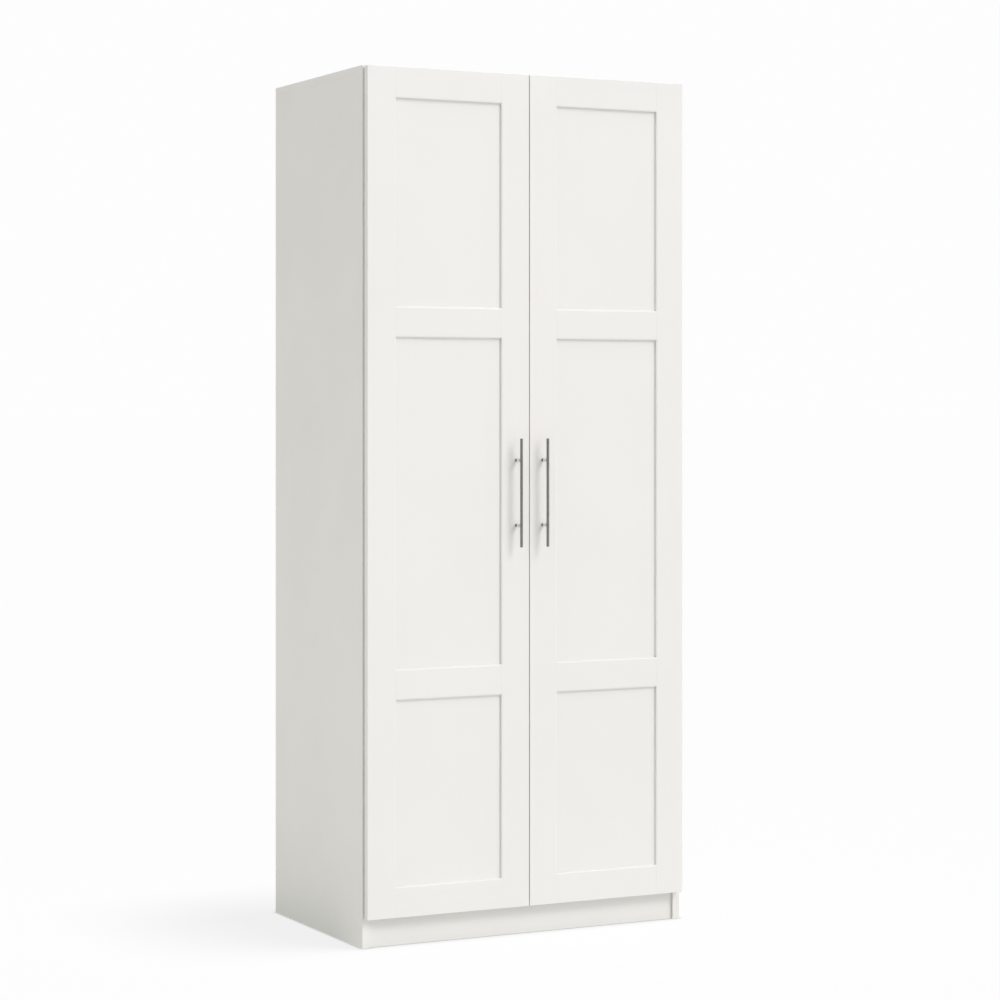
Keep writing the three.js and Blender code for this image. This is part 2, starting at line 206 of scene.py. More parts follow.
WHITE = (0.855, 0.847, 0.818)
REAR_EDGE = 0.2585  # just inside the carcass's rear plane
SHADED_WAIST = (-0.2400, -0.2325)  # the turned groove of the handle posts, along Y, where a painted shade darkens the metal


def white_board(name, base=WHITE, grain=1.0):
    """Foil on particle board: a fine pebbled emboss, faint cloudiness, edges made lighter, partly as rubbing wear and
    partly as a painted highlight.
    """
    t = Tree(name)
    cloud = t.noise(5.0, 3.0, 0.55)
    fine = t.noise(260.0, 2.0, 0.5)
    color = t.mix(t.remap(cloud, 0.3, 0.7, 0.0, 1.0), tuple(c * 0.985 for c in base), tuple(min(1.0, c * 1.012) for c in base))
    color = t.mix(t.remap(fine, 0.62, 0.75, 0.0, 0.35), color, tuple(c * 0.965 for c in base))
    # lighter edges: rubbing wear and a painted highlight on the arrises
    wear_and_highlight = t.edges(0.0012)
    color = t.mix(t.math("MULTIPLY", wear_and_highlight, 0.35), color, tuple(min(1.0, c * 1.04) for c in base))
    # the edges against the wall carry no foil: pressed chips show
    raw = t.math("MULTIPLY", t.math("GREATER_THAN", t.axis("Y"), REAR_EDGE), t.math("GREATER_THAN", t.normal("Y"), 0.6))
    chips = t.noise(330.0, 4.0, 0.7, t.scaled(1.0, 1.0, 0.4), distortion=1.2)
    resin = t.voronoi(520.0)
    board = t.mix(t.remap(chips, 0.38, 0.62, 0.0, 1.0), (0.40, 0.29, 0.18), (0.68, 0.56, 0.40))
    board = t.mix(t.remap(resin, 0.0, 0.35, 0.5, 0.0), board, (0.25, 0.17, 0.10))
    color = t.mix(raw, color, board)
    smear = t.noise(14.0, 4.0, 0.6, t.scaled(1.0, 1.0, 0.35))
    rough = t.math("ADD", t.remap(smear, 0.3, 0.7, 0.40, 0.50), t.remap(fine, 0.3, 0.7, -0.03, 0.03))
    rough = t.math("ADD", rough, t.math("MULTIPLY", raw, 0.3))
    pebble = t.noise(1500.0, 1.0, 0.5)
    pores = t.noise(420.0, 2.0, 0.6, t.scaled(1.0, 1.0, 0.12))
    n = t.bump(pebble, 0.00004 * grain, 0.6)
    n = t.bump(pores, 0.00005 * grain, 0.35, n)
    n = t.bump(t.noise(2.2, 2.0, 0.5), 0.0006, 0.5, n)
    return t.finish(color, rough, n, IOR=1.5)


def door_paint(name, base=WHITE):
    """Satin lacquer: orange peel a millimetre or two across, faint drift of tone, edges made lighter, partly as rubbing
    wear and partly as a painted highlight.
    """
    t = Tree(name)
    cloud = t.noise(3.5, 3.0, 0.5)
    color = t.mix(t.remap(cloud, 0.3, 0.7, 0.0, 1.0), tuple(c * 0.99 for c in base), tuple(min(1.0, c * 1.008) for c in base))
    speck = t.noise(700.0, 1.0, 0.5)
    color = t.mix(t.remap(speck, 0.72, 0.8, 0.0, 0.3), color, tuple(c * 0.93 for c in base))
    # lighter edges: rubbing wear and a painted highlight on the arrises
    wear_and_highlight = t.edges(0.0010)
    color = t.mix(t.math("MULTIPLY", wear_and_highlight, 0.35), color, tuple(min(1.0, c * 1.03) for c in base))
    smear = t.noise(9.0, 4.0, 0.6)
    rough = t.math("ADD", t.remap(smear, 0.3, 0.7, 0.34, 0.43), t.remap(speck, 0.3, 0.7, -0.02, 0.02))
    peel = t.noise(620.0, 1.5, 0.5)
    n = t.bump(peel, 0.00005, 0.5)
    n = t.bump(t.noise(60.0, 2.0, 0.5), 0.00012, 0.35, n)
    return t.finish(color, rough, n, IOR=1.48)


def back_sheet(name):
    """Hardboard: white on the face that shows inside, bare pressed fibre behind."""
    t = Tree(name)
    fibre = t.noise(90.0, 6.0, 0.7, distortion=0.6)
    fleck = t.voronoi(800.0)
    brown = t.mix(t.remap(fibre, 0.3, 0.7, 0.0, 1.0), (0.33, 0.23, 0.14), (0.47, 0.345, 0.22))
    brown = t.mix(t.remap(fleck, 0.0, 0.5, 0.25, 0.0), brown, (0.20, 0.13, 0.07))
    cloud = t.noise(4.0, 3.0, 0.5)
    white = t.mix(t.remap(cloud, 0.3, 0.7, 0.0, 1.0), (0.80, 0.795, 0.765), (0.83, 0.825, 0.795))
    inside = t.math("LESS_THAN", t.normal("Y"), -0.5)
    color = t.mix(inside, brown, white)
    rough = t.remap(t.noise(30.0, 3.0, 0.6), 0.3, 0.7, 0.55, 0.72)
    # pressed screen pattern of the bare side
    screen = t.math("MULTIPLY", t.math("SINE", t.math("MULTIPLY", t.axis("X"), 2800.0)), t.math("SINE", t.math("MULTIPLY", t.axis("Z"), 2800.0)))
    n = t.bump(screen, 0.00008, 0.3)
    n = t.bump(fibre, 0.0001, 0.5, n)
    return t.finish(color, rough, n, IOR=1.45)


def brushed_steel(name, base=(0.30, 0.297, 0.29), along="Z", rough=(0.24, 0.36)):
    """Fine scratches along the piece, with slow change in shine."""
    t = Tree(name)
    s = {"X": (6.0, 2600.0, 2600.0), "Y": (2600.0, 6.0, 2600.0), "Z": (2600.0, 2600.0, 6.0)}[along]
    lines = t.noise(1.0, 3.0, 0.6, t.scaled(*s))
    slow = t.noise(35.0, 3.0, 0.6)
    color = t.mix(t.remap(lines, 0.3, 0.7, 0.0, 1.0), tuple(c * 0.85 for c in base), tuple(min(1.0, c * 1.15) for c in base))
    r = t.math("ADD", t.remap(lines, 0.3, 0.7, rough[0], rough[1]), t.remap(slow, 0.3, 0.7, -0.04, 0.04))
    n = t.bump(lines, 0.00003, 0.5)
    return t.finish(color, r, n, metallic=1.0)


def nickel(name, base=(0.62, 0.60, 0.56)):
    """Bright plating on stamped steel: smudges, tiny pits."""
    t = Tree(name)
    smudge = t.noise(120.0, 4.0, 0.6)
    color = t.mix(t.remap(smudge, 0.35, 0.7, 0.0, 1.0), tuple(c * 0.9 for c in base), tuple(min(1.0, c * 1.08) for c in base))
    pits = t.noise(2400.0, 1.0, 0.5)
    rough = t.math("ADD", t.remap(smudge, 0.3, 0.7, 0.16, 0.30), t.remap(pits, 0.6, 0.8, 0.0, 0.15))
    n = t.bump(pits, 0.00002, 0.4)
    n = t.bump(t.noise(300.0, 2.0, 0.5), 0.00003, 0.3, n)
    return t.finish(color, rough, n, metallic=1.0)


def handle_post_metal(name):
    """The bar's metal, but turned: fine rings, a base much lighter than the bar's as a painted reflection of bright
    surroundings, and a painted shade darkening the waist next to the door.
    """
    t = Tree(name)
    rings = t.noise(1.0, 2.0, 0.6, t.scaled(40.0, 3600.0, 40.0))
    slow = t.noise(60.0, 3.0, 0.6)
    # painted reflection: the post's metal is made far lighter than the bar's; painted shade: near-black in the waist
    # next to the door
    painted_reflection_tone, painted_shade_tone = (0.88, 0.875, 0.86), (0.10, 0.099, 0.096)
    waist_shade_mask = t.math("MULTIPLY", t.remap(t.axis("Y"), SHADED_WAIST[0] - 0.0006, SHADED_WAIST[0] + 0.0006, 0.0, 1.0), t.remap(t.axis("Y"), SHADED_WAIST[1] - 0.0006, SHADED_WAIST[1] + 0.0006, 1.0, 0.0))
    base = t.mix(waist_shade_mask, painted_reflection_tone, painted_shade_tone)
    color = t.mix(t.remap(rings, 0.3, 0.7, 0.10, 0.0), base, (0.1, 0.1, 0.1))
    rough = t.math("ADD", t.remap(rings, 0.3, 0.7, 0.24, 0.34), t.remap(slow, 0.3, 0.7, -0.03, 0.03))
    return t.finish(color, rough, t.bump(rings, 0.00002, 0.5), metallic=1.0)


def soft_plastic(name, base, rough=(0.35, 0.5), scale=300.0):
    """Moulded plastic: a fine spark-eroded texture and slight clouding."""
    t = Tree(name)
    cloud = t.noise(40.0, 3.0, 0.5)
    color = t.mix(t.remap(cloud, 0.3, 0.7, 0.0, 1.0), tuple(c * 0.97 for c in base), tuple(min(1.0, c * 1.02) for c in base))
    grain = t.noise(scale * 8, 1.0, 0.5)
    r = t.remap(t.noise(90.0, 3.0, 0.6), 0.3, 0.7, *rough)
    return t.finish(color, r, t.bump(grain, 0.00003, 0.6), IOR=1.46)


MATS = {
    "white_board": white_board("white_board_foil"),
    "door_paint": door_paint("door_lacquer"),
    "back_sheet": back_sheet("back_hardboard"),
    "handle_steel": brushed_steel("handle_brushed"),
    "hinge_nickel": nickel("hinge_plating"),
    "handle_post": handle_post_metal("handle_turned"),
    "bumper": soft_plastic("bumper_rubber", (0.74, 0.74, 0.72), (0.3, 0.42)),
    "cap_plastic": soft_plastic("cap_plastic", (0.80, 0.795, 0.77)),
}


# ------------------------------------------------------------------ mesh helpers
def weighted(obj):
    m = obj.modifiers.new("normals", "WEIGHTED_NORMAL")
    m.keep_sharp = True
    m.weight = 80
    return obj


def make(name, bm, slot, body, replaces=None, material=None, sharp=40.0, weight=True):
    """A finished piece from a bmesh: its material, picked by slot, and its body."""
    bmesh.ops.recalc_face_normals(bm, faces=bm.faces)
    for f in bm.faces:
        f.smooth = True
    for e in bm.edges:
        if len(e.link_faces) == 2:
            e.smooth = e.calc_face_angle(0.0) < math.radians(sharp)
    mesh = bpy.data.meshes.new(name)
    bm.to_mesh(mesh)
    bm.free()
    obj = bpy.data.objects.new(name, mesh)
    cabinet.objects.link(obj)
    mesh.materials.append(material or MATS[slot])
    if weight:
        weighted(obj)
    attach(obj, body)
    if replaces:
        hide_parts(*([replaces] if isinstance(replaces, str) else replaces))
    return obj


def cad_bmesh(node):
    """The node's own solid, welded and with its flat faces whole again."""
    bm = bmesh.new()
    bm.from_mesh(NODES[node].data)
    bmesh.ops.remove_doubles(bm, verts=bm.verts, dist=2e-6)
    bmesh.ops.dissolve_limit(bm, angle_limit=math.radians(0.5), verts=bm.verts, edges=bm.edges)
    return bm


def ease(bm, width, segments=3, angle=30.0, pick=None):
    """Rounds off the arrises that pick(edge) chooses."""
    edges = [
        e
        for e in bm.edges
        if len(e.link_faces) == 2 and e.calc_face_angle(0.0) > math.radians(angle) and (pick is None or pick(e))
    ]
    if edges:
        bmesh.ops.bevel(bm, geom=edges, offset=width, offset_type="OFFSET", segments=segments, profile=0.5, affect="EDGES", clamp_overlap=True)
    return bm


def eased(node, width, segments=3, angle=30.0, pick=None, **kw):
    """The node's solid with its arrises rounded off."""
    return make(node + "_piece", ease(cad_bmesh(node), width, segments, angle, pick), SLOT[node], BODY[node], replaces=node, **kw)


def carved(bm, tools, operation="DIFFERENCE"):
    """bm with closed tool meshes cut away (or joined on), by an exact boolean."""
    if isinstance(tools, bmesh.types.BMesh):
        tools = [tools]
    made = []

    def temp(b, name):
        bmesh.ops.recalc_face_normals(b, faces=b.faces)
        mesh = bpy.data.meshes.new(name)
        b.to_mesh(mesh)
        b.free()
        obj = bpy.data.objects.new(name, mesh)
        scene.collection.objects.link(obj)
        made.append(obj)
        return obj

    base = temp(bm, "temp_base")
    for i, tool in enumerate(tools):
        m = base.modifiers.new(f"cut{i}", "BOOLEAN")
        m.operation = operation
        m.solver = "EXACT"
        m.object = temp(tool, f"temp_tool{i}")
    bpy.context.view_layer.update()
    mesh = bpy.data.meshes.new_from_object(base.evaluated_get(bpy.context.evaluated_depsgraph_get()))
    out = bmesh.new()
    out.from_mesh(mesh)
    bpy.data.meshes.remove(mesh)
    for obj in made:
        data = obj.data
        bpy.data.objects.remove(obj)
        bpy.data.meshes.remove(data)
    bmesh.ops.remove_doubles(out, verts=out.verts, dist=1e-6)
    return out


AXES = {
    "X": Matrix(((0, 0, 1), (1, 0, 0), (0, 1, 0))),
    "Y": Matrix(((0, 1, 0), (0, 0, 1), (1, 0, 0))),
    "Z": Matrix(((1, 0, 0), (0, 1, 0), (0, 0, 1))),
}


def lathe(profile, centre=(0, 0, 0), axis="Z", segments=48, bm=None):
    """A closed solid of revolution. profile is [(radius, height)] from one end of the axis to the other."""
    bm = bm or bmesh.new()
    turn = AXES[axis]
    centre = Vector(centre)
    rings = []
    for r, h in profile:
        if r < 1e-9:
            rings.append([bm.verts.new(centre + turn @ Vector((0, 0, h)))])
        else:
            rings.append(
                [
                    bm.verts.new(centre + turn @ Vector((r * math.cos(a), r * math.sin(a), h)))
                    for a in (2 * math.pi * k / segments for k in range(segments))
                ]
            )
    for a, b in zip(rings, rings[1:]):
        n = max(len(a), len(b))
        for k in range(n):
            j = (k + 1) % n
            corners = [a[k % len(a)], a[j % len(a)], b[j % len(b)], b[k % len(b)]]
            seen = []
            for v in corners:
                if v not in seen:
                    seen.append(v)
            if len(seen) > 2:
                bm.faces.new(seen)
    return bm


def brick(x0, x1, y0, y1, z0, z1, bm=None):
    bm = bm or bmesh.new()
    v = [bm.verts.new((x, y, z)) for z in (z0, z1) for y in (y0, y1) for x in (x0, x1)]
    for f in ((0, 2, 3, 1), (4, 5, 7, 6), (0, 1, 5, 4), (2, 6, 7, 3), (0, 4, 6, 2), (1, 3, 7, 5)):
        bm.faces.new([v[i] for i in f])
    return bm


def extruded(outline, axis, a, b, centre=(0, 0, 0), bm=None):
    """A flat outline of (p, q) points carried along an axis from a to b."""
    bm = bm or bmesh.new()
    turn, centre = AXES[axis], Vector(centre)
    rings = [[bm.verts.new(centre + turn @ Vector((p, q, h))) for p, q in outline] for h in (a, b)]
    n = len(outline)
    bm.faces.new(rings[0][::-1])
    bm.faces.new(rings[1])
    for k in range(n):
        j = (k + 1) % n
        bm.faces.new([rings[0][k], rings[0][j], rings[1][j], rings[1][k]])
    return bm


# ------------------------------------------------------------------ doors
# the frame's inner edge, from outside the arris inwards: (beyond the opening, behind the door's face), a shallow bevel
FRAME_EDGE = ((3.8, -0.5), (3.15, -0.02), (2.85, 0.04), (0.2, 0.7), (0.02, 0.95), (-0.02, 1.1))


def window_cutter(x0, x1, z0, z1, face):
    """A funnel that bevels the front arris of an opening, mitred at its corners."""
    bm = bmesh.new()
    rings = []
    levels = [(a * MM, b * MM) for a, b in FRAME_EDGE]
    for out, deep in levels:
        y = face + deep
        rings.append([bm.verts.new((x, y, z)) for x, z in ((x0 - out, z0 - out), (x1 + out, z0 - out), (x1 + out, z1 + out), (x0 - out, z1 + out))])
    for a, b in zip(rings, rings[1:]):
        for k in range(4):
            bm.faces.new([a[k], a[(k + 1) % 4], b[(k + 1) % 4], b[k]])
    bm.faces.new(rings[0][::-1])
    bm.faces.new(rings[-1])
    return bm


RAIL_NAMES = ["bottom_rail", "lower_rail", "upper_rail", "top_rail"]


def door(side):
    body = f"{side}_door"
    sign = -1 if side == "left" else 1
    node = lambda piece: f"{side}_door_{piece}"
    hinge_lo, hinge_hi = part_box(node("hinge_stile"))
    meet_lo, meet_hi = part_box(node("meeting_stile"))
    face, rear = hinge_lo.y, hinge_hi.y
    x0, x1 = (hinge_hi.x, meet_lo.x) if side == "left" else (meet_hi.x, hinge_lo.x)
    rails = [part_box(node(n)) for n in RAIL_NAMES]
    windows = [(rails[i][1].z, rails[i + 1][0].z) for i in range(3)]

    def cutters():
        bm = bmesh.new()
        for z0, z1 in windows:
            tool = window_cutter(x0, x1, z0, z1, face)
            mesh = bpy.data.meshes.new("temp")
            tool.to_mesh(mesh)
            tool.free()
            bm.from_mesh(mesh)
            bpy.data.meshes.remove(mesh)
        return bm

    near = lambda a, b: abs(a - b) < 2e-5
    both = lambda e, test: all(test(v.co) for v in e.verts)
    for piece, inner in (("hinge_stile", x0 if side == "left" else x1), ("meeting_stile", x1 if side == "left" else x0)):
        outer = {"hinge_stile": hinge_lo.x if side == "left" else hinge_hi.x, "meeting_stile": meet_hi.x if side == "left" else meet_lo.x}[piece]
        z_lo, z_hi = hinge_lo.z, hinge_hi.z

        def outside(e):
            return both(e, lambda c: near(c.x, outer) and (near(c.y, face) or near(c.y, rear))) or both(
                e, lambda c: (near(c.z, z_lo) or near(c.z, z_hi)) and (near(c.y, face) or near(c.y, rear) or near(c.x, outer))
            ) and not both(e, lambda c: near(c.x, inner))

        bm = ease(cad_bmesh(node(piece)), 0.7 * MM, 4, pick=outside)
        ease(bm, 0.3 * MM, 2, pick=lambda e: both(e, lambda c: near(c.x, inner) and near(c.y, rear)))
        ease(bm, 0.2 * MM, 2, pick=lambda e: both(e, lambda c: near(c.y, rear) and abs(c.x - outer) > 2 * MM and abs(c.x - inner) > 2 * MM))
        make(node(piece) + "_piece", carved(bm, cutters()), "door_paint", body, replaces=node(piece))
    for i, name in enumerate(RAIL_NAMES):
        lo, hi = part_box(node(name))
        outer_z = lo.z if i == 0 else hi.z if i == 3 else None
        bm = cad_bmesh(node(name))
        if outer_z is not None:
            ease(bm, 0.7 * MM, 4, pick=lambda e: both(e, lambda c: near(c.z, outer_z) and near(c.y, face)) or both(e, lambda c: near(c.z, outer_z) and near(c.y, rear)))
        ease(
            bm,
            0.3 * MM,
            2,
            pick=lambda e: both(e, lambda c: near(c.y, rear) and (near(c.z, lo.z) or near(c.z, hi.z))) and (outer_z is None or not both(e, lambda c: near(c.z, outer_z))),
        )
        make(node(name) + "_piece", carved(bm, cutters()), "door_paint", body, replaces=node(name))
    for name in ("bottom_panel", "middle_panel", "top_panel"):
        eased(node(name), 0.3 * MM, 2)
    handle(side, body, sign, face, rear)
    door_extras(side, body, sign, face, rear)


def handle(side, body, sign, face, rear):
    bar = f"{side}_door_handle_bar"
    lo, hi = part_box(bar)
    c = (lo + hi) / 2
    r, half = (hi.x - lo.x) / 2, (hi.z - lo.z) / 2
    chamfer = 0.55 * MM
    profile = [(0.0, -half), (r - chamfer - 0.15 * MM, -half), (r - chamfer, -half + 0.04 * MM), (r - 0.08 * MM, -half + chamfer - 0.06 * MM), (r, -half + chamfer + 0.1 * MM)]
    steps = 24
    profile += [(r, -half + chamfer + 0.1 * MM + (2 * half - 2 * chamfer - 0.2 * MM) * k / steps) for k in range(1, steps)]
    profile += [(a, -h) for a, h in profile[4::-1]]
    make(bar + "_piece", lathe(profile, c, "Z", 64), "handle_steel", body, replaces=bar, sharp=30.0)
    for where in ("lower", "upper"):
        post = f"{side}_door_handle_post_{where}"
        plo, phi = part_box(post)
        pc = (plo + phi) / 2
        pr = (phi.z - plo.z) / 2
        neck, neck_l = 3.2 * MM, 7.0 * MM
        foot = phi.y - pc.y
        top = plo.y - pc.y
        fillet = [(neck + (pr - neck) * (1 - math.sin(t)), foot - neck_l - 1.5 * MM * math.cos(t) * 1.0) for t in (math.pi / 2 * k / 6 for k in range(7))]
        outline = [(0.0, top), (pr - 0.5 * MM, top), (pr - 0.14 * MM, top + 0.14 * MM), (pr, top + 0.5 * MM)]
        outline += fillet
        outline += [(neck, foot - 1.0 * MM), (neck + 0.05 * MM, foot - 0.4 * MM), (neck + 0.05 * MM, foot), (0.0, foot)]
        bm = lathe(outline, pc, "Y", 56)
        saddle = lathe([(0.0, -12 * MM), (r + 0.06 * MM, -12 * MM), (r + 0.06 * MM, 12 * MM), (0.0, 12 * MM)], (c.x, c.y, pc.z), "Z", 64)
        make(post + "_piece", carved(bm, saddle), "handle_steel", body, replaces=post, sharp=30.0, material=MATS["handle_post"])


def cross_screw(name, centre, axis, direction, radius, height, body, slot="hinge_nickel", pan=True, sunk=False):
    """A screw head with a cross recess, its top towards direction (+1 or -1) along the axis."""
    d = direction
    c = Vector(centre)
    if pan:
        dome = [(radius * math.sin(t), height * (0.35 + 0.65 * math.cos(t))) for t in (math.pi / 2 * k / 7 for k in range(8))]
        profile = [(0.0, 0.0), (radius * 0.97, 0.0), (radius, height * 0.08)] + dome[::-1]
    else:
        profile = [(0.0, 0.0), (radius * 0.9, 0.0), (radius, height * 0.6), (radius * 0.93, height), (0.0, height)]
    profile = [(r, h * d) for r, h in profile]
    bm = lathe(profile, c, axis, 32)
    w, l, deep = radius * 0.13, radius * 0.55, height * 0.75
    a, b = height * d * 1.3, (height - deep) * d
    lo, hi = min(a, b), max(a, b)
    cross = [(-w, -l), (w, -l), (w, -w), (l, -w), (l, w), (w, w), (w, l), (-w, l), (-w, w), (-l, w), (-l, -w), (-w, -w)]
    turned = [(p * math.cos(0.5) - q * math.sin(0.5), p * math.sin(0.5) + q * math.cos(0.5)) for p, q in cross]
    tool = extruded(turned, axis, lo, hi, c)
    return make(name, carved(bm, tool), slot, body, sharp=35.0)


def door_extras(side, body, sign, face, rear):
    """What shows on a door's inner face: the screws that hold the handle, and two soft bumpers."""
    for where in ("lower", "upper"):
        lo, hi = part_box(f"{side}_door_handle_post_{where}")
        c = (lo + hi) / 2
        cross_screw(f"{side}_handle_screw_{where}", (c.x, rear, c.z), "Y", 1, 4.2 * MM, 2.0 * MM, body)
    zlo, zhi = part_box(f"{side}_door_meeting_stile")
    for where, z in (("lower", zlo.z + 14 * MM), ("upper", zhi.z - 10 * MM)):
        x = sign * (abs(zlo.x if side == "right" else zhi.x) + 14 * MM)
        r, h = 4.0 * MM, 1.9 * MM
        dome = [(r * math.sin(t), h * (0.45 + 0.55 * math.cos(t))) for t in (math.pi / 2 * k / 7 for k in range(8))]
        profile = [(0.0, 0.0), (r, 0.0)] + dome[::-1]
        make(f"{side}_door_bumper_{where}", lathe(profile, (x, rear, z), "Y", 32), None, body, material=MATS["bumper"], sharp=50.0)


# ------------------------------------------------------------------ carcass
def pin_holes(side):
    """Round cutters where the side's pin holes are, read from the node's own faceted holes."""
    mesh = NODES[f"side_panel_{side}"].data
    lo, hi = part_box(f"side_panel_{side}")
    inner = hi.x if side == "left" else lo.x
    bottoms = {}
    for v in mesh.vertices:
        if 8 * MM < abs(v.co.x - inner) < 12 * MM and lo.z + 100 * MM < v.co.z < hi.z - 100 * MM and abs(v.co.y) < 0.21:
            bottoms.setdefault(round(abs(v.co.x - inner), 4), []).append(v.co.copy())
    points = max(bottoms.values(), key=len) if bottoms else []
    groups = []
    for p in points:
        for g in groups:
            if (Vector((p.y, p.z)) - Vector((g[0].y, g[0].z))).length < 7 * MM:
                g.append(p)
                break
        else:
            groups.append([p])
    centres = []
    for g in groups:
        ys, zs = [p.y for p in g], [p.z for p in g]
        centres.append(((min(ys) + max(ys)) / 2, (min(zs) + max(zs)) / 2))
    return inner, sorted(centres)


def side_panel(side):
    name = f"side_panel_{side}"
    sign = -1 if side == "left" else 1
    inner, centres = pin_holes(side)
    lo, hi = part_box(name)
    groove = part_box("back_panel")
    bm = brick(lo.x, hi.x, lo.y, hi.y, lo.z, hi.z)
    ease(bm, 0.3 * MM, 3)
    cut = 8.15 * MM
    gx = (inner - cut, inner + 5 * MM) if side == "left" else (inner - 5 * MM, inner + cut)
    tools = brick(*gx, groove[0].y - 0.3 * MM, groove[1].y + 0.3 * MM, 46 * MM, hi.z + 5 * MM)
    for y, z in centres:
        depth = 10.5 * MM
        rim = 0.35 * MM
        r = 2.65 * MM
        profile = [(0.0, -depth), (r, -depth), (r, -rim), (r + rim, 0.0), (r + rim, 2 * MM), (0.0, 2 * MM)]
        profile = [(a, h * -sign) for a, h in profile]
        lathe(profile, (inner, y, z), "X", 24, bm=tools)
    make(name + "_piece", carved(bm, tools), "white_board", "carcass", replaces=name)


def cam_cover(name, x, y, z, direction, radius=8.2 * MM, height=0.7 * MM):
    """A thin plastic cap over a cam fitting, with a small tool notch."""
    profile = [(0.0, 0.0), (radius, 0.0), (radius, height * 0.45), (radius - 0.35 * MM, height * 0.85), (radius - 0.9 * MM, height), (0.0, height)]
    bm = lathe([(r, h * direction) for r, h in profile], (x, y, z), "Z", 40)
    w = 0.8 * MM
    span = sorted((z + direction * height * 0.35, z + direction * height * 3))
    tool = brick(x - w, x + w, y - radius - MM, y - radius + 1.3 * MM, span[0], span[1])
    return make(name, carved(bm, tool), None, "carcass", material=MATS["cap_plastic"], sharp=35.0)


def carcass():
    for side in ("left", "right"):
        side_panel(side)
    eased("top_board", 0.3 * MM, 3)
    for node in ("bottom_board", "fixed_shelf_lower", "fixed_shelf_upper", "plinth_board"):
        eased(node, 0.4 * MM, 3)
    for node in ("adjustable_shelf_middle", "adjustable_shelf_top"):
        eased(node, 0.6 * MM, 4)
    eased("back_panel", 0.2 * MM, 2)
    for node in ("fixed_shelf_lower", "fixed_shelf_upper", "top_board"):
        lo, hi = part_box(node)
        for side, sign in (("left", -1), ("right", 1)):
            for where, y in (("front", lo.y + (58 if node == "top_board" else 46) * MM), ("rear", 0.19)):
                x = sign * (0.364 - 33.5 * MM)
                cam_cover(f"cam_cover_{node}_{where}_{side}", x, y, lo.z, -1)


# ------------------------------------------------------------------ hardware
def hinge_hardware():
    for node in NODES:
        if "shelf_pin" in node:
            eased(node, 0.25 * MM, 3, angle=25.0)
        elif "hinge_plate" in node:
            eased(node, 0.35 * MM, 3)
        elif "hinge_arm" in node:
            eased(node, 0.22 * MM, 2, angle=35.0)
        elif "hinge_cup" in node:
            eased(node, 0.18 * MM, 2, angle=35.0)
    for side, sign in (("left", -1), ("right", 1)):
        body = f"{side}_door"
        for where in ("lower", "middle", "upper"):
            lo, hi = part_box(f"{side}_door_hinge_cup_{where}")
            zc = (lo.z + hi.z) / 2
            # screws in the cup's wings: 6 mm towards the meeting line from the cup's centre
            cup_x = sign * (abs(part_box(f"{side}_door_hinge_stile")[0 if side == "left" else 1].x) - 20.8 * MM)
            sx = cup_x - sign * 6 * MM
            for tag, dz in (("a", -24 * MM), ("b", 24 * MM)):
                cross_screw(f"{side}_cup_screw_{where}_{tag}", (sx, hi.y - 0.5 * MM, zc + dz), "Y", 1, 3.3 * MM, 1.5 * MM, body)
            plo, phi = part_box(f"{side}_hinge_plate_{where}")
            wall = phi.x if side == "right" else plo.x
            wing_y = plo.y + (48.5 - 26.0) * MM
            top = wall - sign * 2.2 * MM
            for tag, dz in (("a", -16 * MM), ("b", 16 * MM)):
                cross_screw(f"{side}_plate_screw_{where}_{tag}", (top, wing_y, zc + dz), "X", -sign, 3.6 * MM, 1.7 * MM, "carcass")
            alo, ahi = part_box(f"{side}_hinge_arm_{where}")
            arm_top = alo.x if side == "right" else ahi.x
            for tag, dy in (("adjust", 34.0), ("clamp", 58.0)):
                cross_screw(
                    f"{side}_arm_screw_{where}_{tag}",
                    (arm_top + sign * 0.25 * MM, plo.y + (dy - 26.0) * MM, zc),
                    "X",
                    -sign,
                    3.0 * MM if tag == "clamp" else 2.6 * MM,
                    1.1 * MM,
                    "carcass",
                )


carcass()
for s in ("left", "right"):
    door(s)
hinge_hardware()


# ------------------------------------------------------------------ floor, light
FLOOR_ALBEDO = 0.05
FLOOR_GLOW = 0.8550  # seen brightness of the floor before the shade lamp is added
FLOOR_BOUNCE = (0.676, 0.670, 0.653)  # what the floor sends up to the cabinet
FLOOR_BOUNCE_PAINTED_SHADOW = (0.420, 0.450, 0.422)  # the same, lowered on a patch left of the cabinet: a painted shadow
AMBIENT = 0.10
AMBIENT_TINT = (1.0, 0.985, 0.96)
BACKDROP = 0.984
# reach of the painted contact shadow on the floor
CONTACT_SHADE_REACH = 0.012
# name, azimuth, elevation, angular size, strength, colour: broad soft boxes around the cabinet
SOFTBOXES = (
    ("front_box", 31.0, 40.0, 20.0, 0.945, (1.0, 0.995, 0.955)),
    ("front_low_box", 24.0, 14.0, 40.0, 0.670, (0.965, 0.97, 1.0)),
    ("right_box", 60.0, 40.0, 60.0, 0.830, (1.0, 0.93, 0.965)),
    ("left_box", -60.0, 55.0, 50.0, 0.990, (0.885, 0.933, 1.0)),
    ("side_box", -95.0, 35.0, 40.0, 0.745, (1.0, 0.93, 0.85)),
    ("rear_box", 150.0, 42.0, 60.0, 1.500, (1.0, 0.985, 0.96)),
)
SHADE = (62.0, 80.0, 13.0, 7.8, (1.0, 1.0, 1.0))  # lights the floor alone: its soft shadow falls to the left


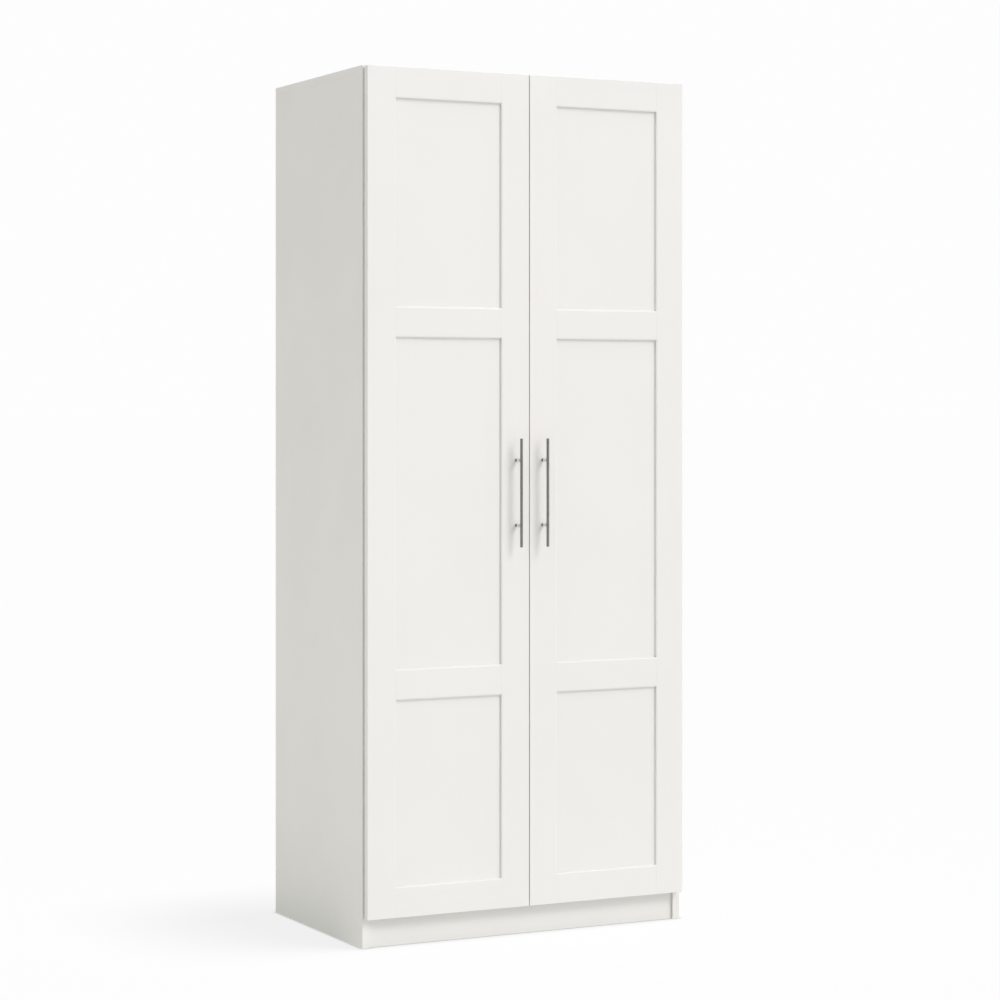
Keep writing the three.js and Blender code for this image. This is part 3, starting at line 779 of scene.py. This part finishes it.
def floor():
    bm = bmesh.new()
    bmesh.ops.create_grid(bm, x_segments=2, y_segments=2, size=300.0)
    mesh = bpy.data.meshes.new("floor")
    bm.to_mesh(mesh)
    bm.free()
    obj = bpy.data.objects.new("floor", mesh)
    stage.objects.link(obj)
    t = Tree("floor_pale")
    tone = t.noise(1.5, 3.0, 0.5)
    color = t.mix(t.remap(tone, 0.3, 0.7, 0.0, 1.0), (FLOOR_ALBEDO,) * 3, (FLOOR_ALBEDO * 1.004,) * 3)
    path = t.add("ShaderNodeLightPath")
    # painted shadow: the floor's glow towards the cabinet is lowered on a patch left of it
    painted_shadow_patch = t.math("MULTIPLY", t.remap(t.axis("X"), -0.73, -0.38, 0.0, 1.0, smooth=True), t.remap(t.axis("Y"), -0.24, -0.04, 0.0, 1.0, smooth=True))
    painted_shadow_patch = t.math("MULTIPLY", painted_shadow_patch, t.remap(t.axis("Y"), 0.35, 0.60, 1.0, 0.0, smooth=True))
    bounce = t.mix(painted_shadow_patch, FLOOR_BOUNCE, FLOOR_BOUNCE_PAINTED_SHADOW)
    # painted contact shadow: the thin dark line where the cabinet meets the floor, darkened in the floor's seen glow by
    # ambient occlusion
    near = t.add("ShaderNodeAmbientOcclusion", samples=16)
    near.inputs["Distance"].default_value = CONTACT_SHADE_REACH
    painted_contact_shadow = t.math("MULTIPLY", FLOOR_GLOW, t.remap(near.outputs["AO"], 0.45, 0.97, 0.50, 1.0))
    glow = t.mix(path.outputs["Is Camera Ray"], bounce, t.grey(painted_contact_shadow))
    t.finish(color, 0.9, None, Specular_IOR_Level=0.0, Emission_Color=glow, Emission_Strength=1.0)
    mesh.materials.append(t.mat)


def sun(name, azimuth, elevation, angle, strength, color=(1.0, 1.0, 1.0), only=None):
    """Azimuth 0 shines from the front (-Y), 90 from +X."""
    data = bpy.data.lights.new(name, "SUN")
    data.energy = strength
    data.angle = math.radians(angle)
    data.color = color
    obj = bpy.data.objects.new(name, data)
    a, e = math.radians(azimuth), math.radians(elevation)
    towards = Vector((math.sin(a) * math.cos(e), -math.cos(a) * math.cos(e), math.sin(e)))
    obj.rotation_mode = "QUATERNION"
    obj.rotation_quaternion = towards.to_track_quat("Z", "Y")
    obj.location = towards * 6.0
    scene.collection.objects.link(obj)
    if only is not None:
        obj.light_linking.receiver_collection = only
    return obj


def lights():
    world = bpy.data.worlds.new("studio")
    scene.world = world
    world.use_nodes = True
    nt = world.node_tree
    nt.nodes.clear()
    out = nt.nodes.new("ShaderNodeOutputWorld")
    mix = nt.nodes.new("ShaderNodeMixShader")
    path = nt.nodes.new("ShaderNodeLightPath")
    lit = nt.nodes.new("ShaderNodeBackground")
    lit.name = "lit"
    seen = nt.nodes.new("ShaderNodeBackground")
    lit.inputs["Color"].default_value = (*AMBIENT_TINT, 1.0)
    lit.inputs["Strength"].default_value = AMBIENT
    seen.inputs["Color"].default_value = (1.0, 1.0, 1.0, 1.0)
    seen.inputs["Strength"].default_value = BACKDROP
    nt.links.new(path.outputs["Is Camera Ray"], mix.inputs[0])
    nt.links.new(lit.outputs[0], mix.inputs[1])
    nt.links.new(seen.outputs[0], mix.inputs[2])
    nt.links.new(mix.outputs[0], out.inputs["Surface"])
    for name, azimuth, elevation, angle, strength, color in SOFTBOXES:
        sun(name, azimuth, elevation, angle, strength, color, only=cabinet)
    sun("shade", *SHADE, only=stage)


floor()
lights()
scene.view_settings.view_transform = "Standard"
scene.view_settings.look = "None"
scene.view_settings.exposure = 0.0
scene.view_settings.gamma = 1.0
